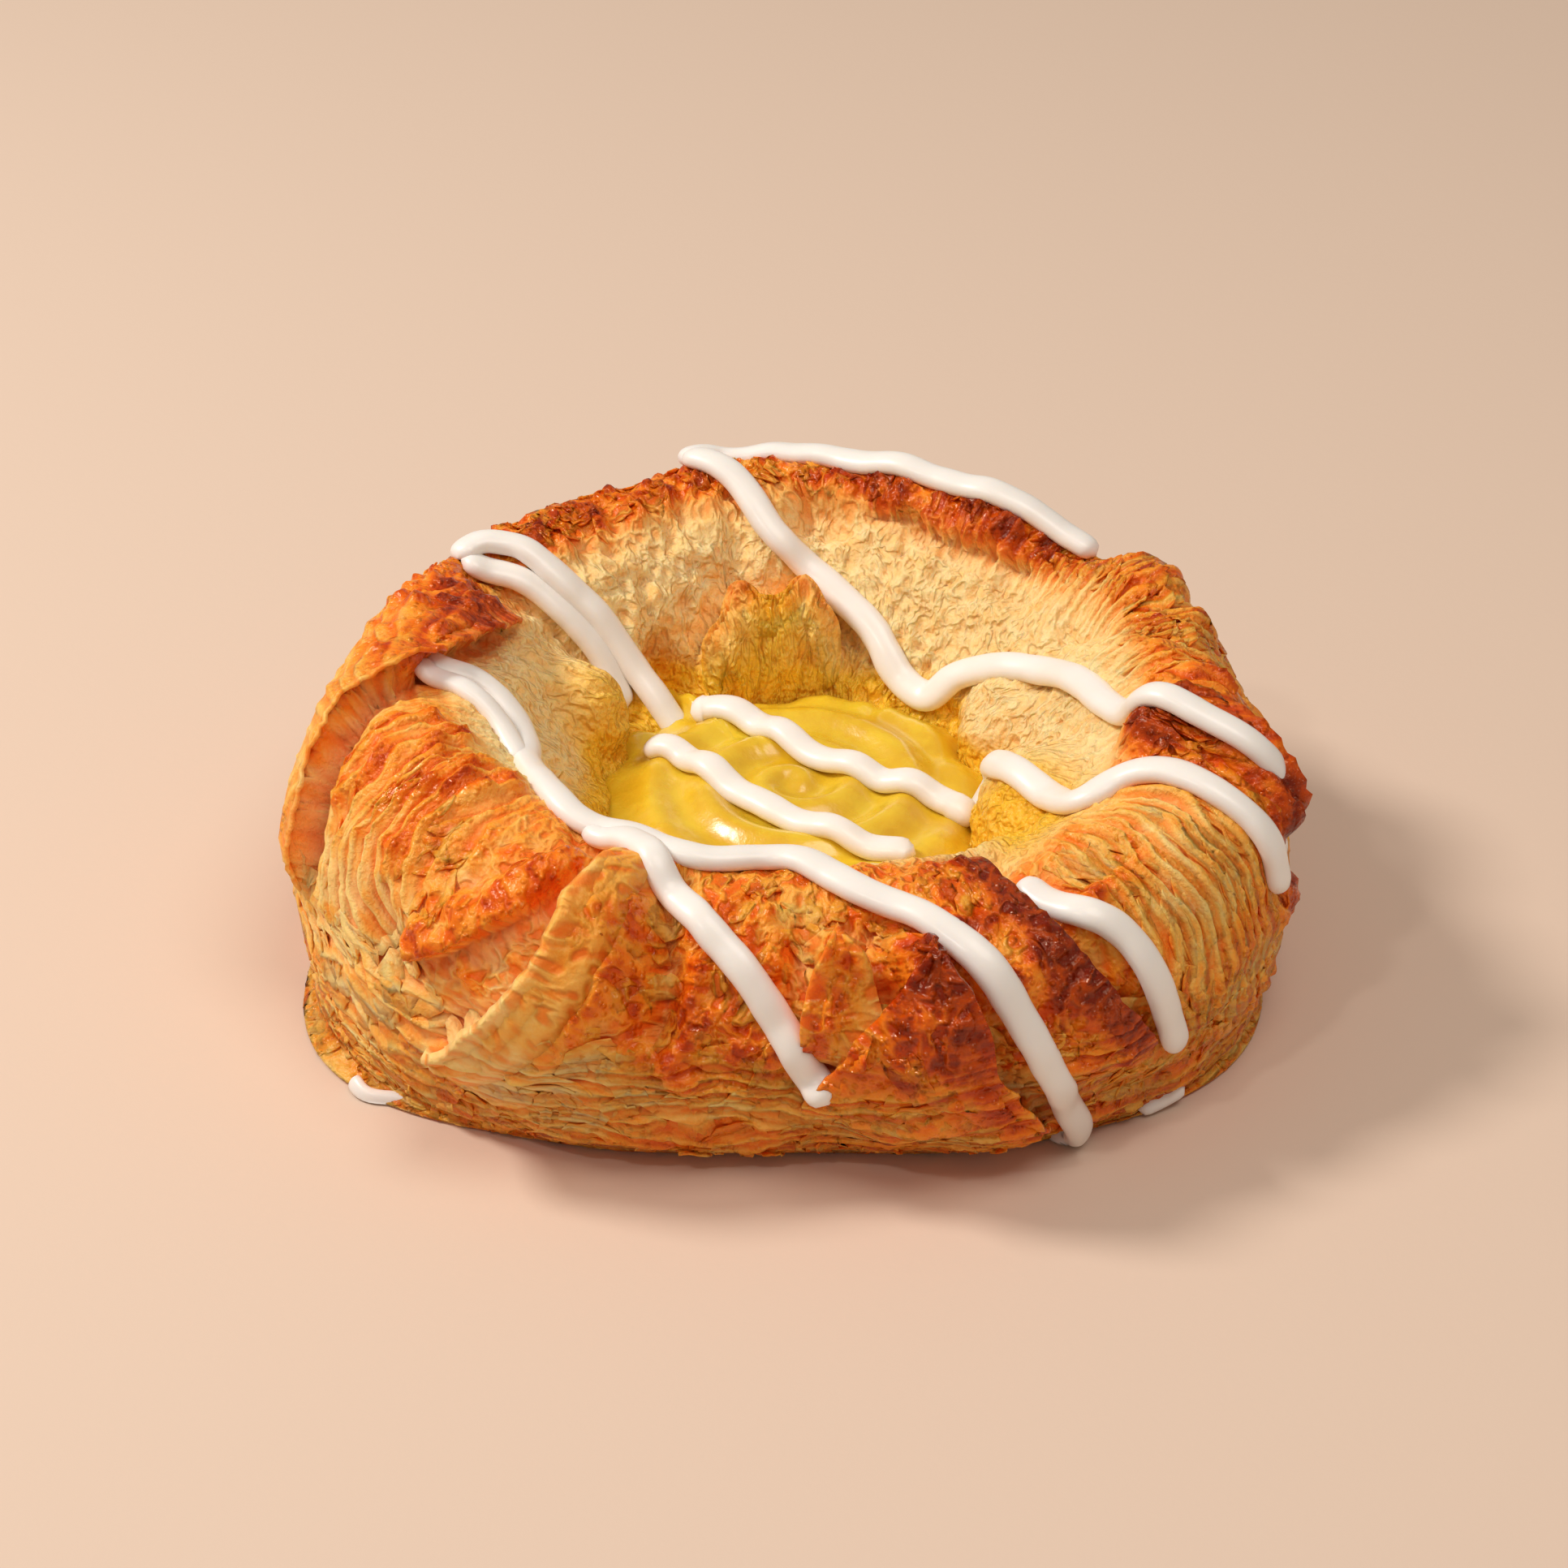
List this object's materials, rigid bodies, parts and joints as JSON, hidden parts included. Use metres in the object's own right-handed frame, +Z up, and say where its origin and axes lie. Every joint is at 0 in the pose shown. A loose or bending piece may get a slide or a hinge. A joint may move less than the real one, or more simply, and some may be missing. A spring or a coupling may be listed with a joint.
{
  "type": "custard danish pastry",
  "caption": "Round open danish of folded flaky dough with a well of custard in the middle and strands of white icing across the top.",
  "frame": {"origin": "on the flat base, under the middle of the outline", "axes": "+Z up from the base, +X along the longest width, -Y towards the low front rim"},
  "size_m": [0.1094, 0.1016, 0.0366],
  "materials": {
    "dough": "golden brown baked crust, satin from an egg wash, pale and matt where the layers are open",
    "custard": "glossy yellow set custard",
    "icing": "white sugar icing, satin"
  },
  "bodies": {
    "root": {"dough": "dough", "custard": "custard"}
  },
  "joints": []
}
